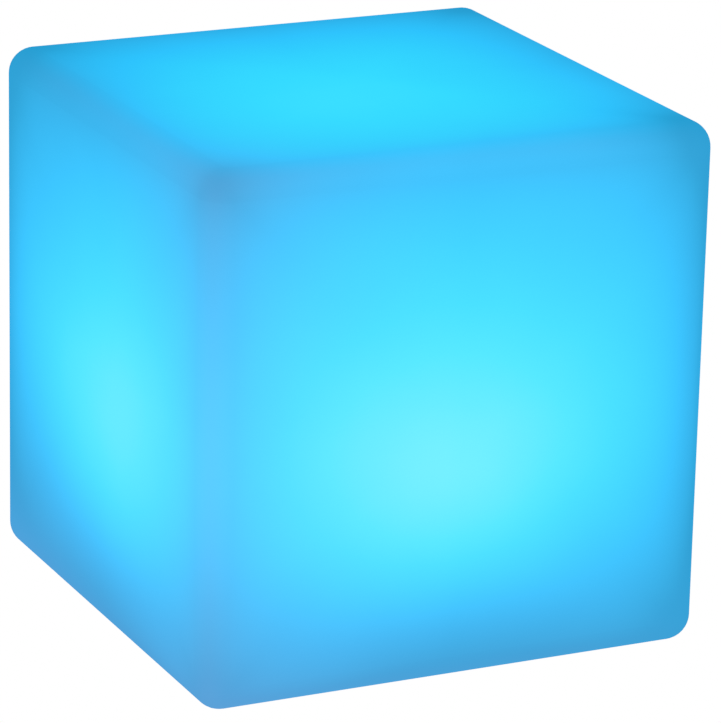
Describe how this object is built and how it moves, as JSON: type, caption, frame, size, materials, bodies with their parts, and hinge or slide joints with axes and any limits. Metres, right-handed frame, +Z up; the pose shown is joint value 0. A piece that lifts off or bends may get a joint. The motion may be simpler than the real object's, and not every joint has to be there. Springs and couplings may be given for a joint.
{
  "type": "led cube light",
  "caption": "Hollow glowing cube light with rounded edges, lit by a sealed rechargeable light module screwed into a round well underneath.",
  "frame": {"origin": "on the floor, under the centre of the cube", "axes": "+Z up; -Y is the front face; the charging port is on the +X side of the button"},
  "size_m": [0.4, 0.4, 0.4],
  "materials": {
    "glowing_shell": "milky rotation-moulded polyethylene, satin, lit cyan-blue from inside",
    "case_plastic": "white ABS, fine spark-eroded grain",
    "button_plastic": "grey ABS, satin",
    "grey_silicone": "matt silicone",
    "black_rubber": "matt moulded rubber",
    "stainless": "A2 stainless, bright",
    "zinc_steel": "zinc-plated steel",
    "brass": "turned brass",
    "clear_plastic": "clear polycarbonate",
    "green_board": "glass-fibre board with green solder mask",
    "white_board": "aluminium-backed board with white solder mask",
    "led_package": "white LED package with a clear-filled bowl",
    "black_package": "moulded epoxy",
    "dark_ferrite": "ferrite and ceramic",
    "black_nylon": "black glass-filled nylon",
    "white_nylon": "natural nylon",
    "cell_wrap": "heat-shrunk PVC sleeve",
    "nickel": "nickel plate",
    "foam": "closed-cell foam tape",
    "red_wire": "silicone-insulated wire",
    "black_wire": "silicone-insulated wire"
  },
  "bodies": {
    "lamp": {"shell": "glowing_shell", "thread_inserts": "brass", "flange_gasket": "grey_silicone", "module_housing": "case_plastic", "housing_screws": "stainless", "dome": "clear_plastic", "dome_seal": "grey_silicone", "dome_screws": "zinc_steel", "button_boot": "grey_silicone", "boot_clamp_ring": "black_nylon", "ring_screws": "zinc_steel", "push_switch": "black_nylon", "dc_jack": "black_nylon", "jack_pin": "nickel", "jack_washer": "black_rubber", "port_cover_anchor": "black_rubber", "light_pipe": "clear_plastic", "control_board": "green_board", "control_board_screws": "zinc_steel", "board_chips": "black_package", "board_coils_and_caps": "dark_ferrite", "charge_led": "led_package", "lead_plugs": "white_nylon", "battery_cells": "cell_wrap", "cell_straps": "nickel", "battery_cradle": "black_nylon", "foam_strip": "foam", "battery_clamp": "zinc_steel", "battery_clamp_screws": "zinc_steel", "battery_lead_red": "red_wire", "battery_lead_black": "black_wire", "led_board": "white_board", "led_chips": "led_package", "led_board_screws": "zinc_steel", "ir_receiver": "black_package", "led_lead": "black_wire"},
    "button": {"power_button": "button_plastic", "switch_plunger": "white_nylon"},
    "cover": {"port_cover": "black_rubber"}
  },
  "joints": [
    {"name": "button_press", "type": "slide", "parent": "lamp", "child": "button", "axis": [0, 0, 1], "range_m": [0, 0.001], "stiffness_N_per_m": 1500, "deforming": ["button_boot"]},
    {"name": "cover_hinge", "type": "hinge", "parent": "lamp", "child": "cover", "pos_m": [0.0254, 0, 0.0156], "axis": [0, 1, 0], "range_deg": [0, 110]}
  ]
}
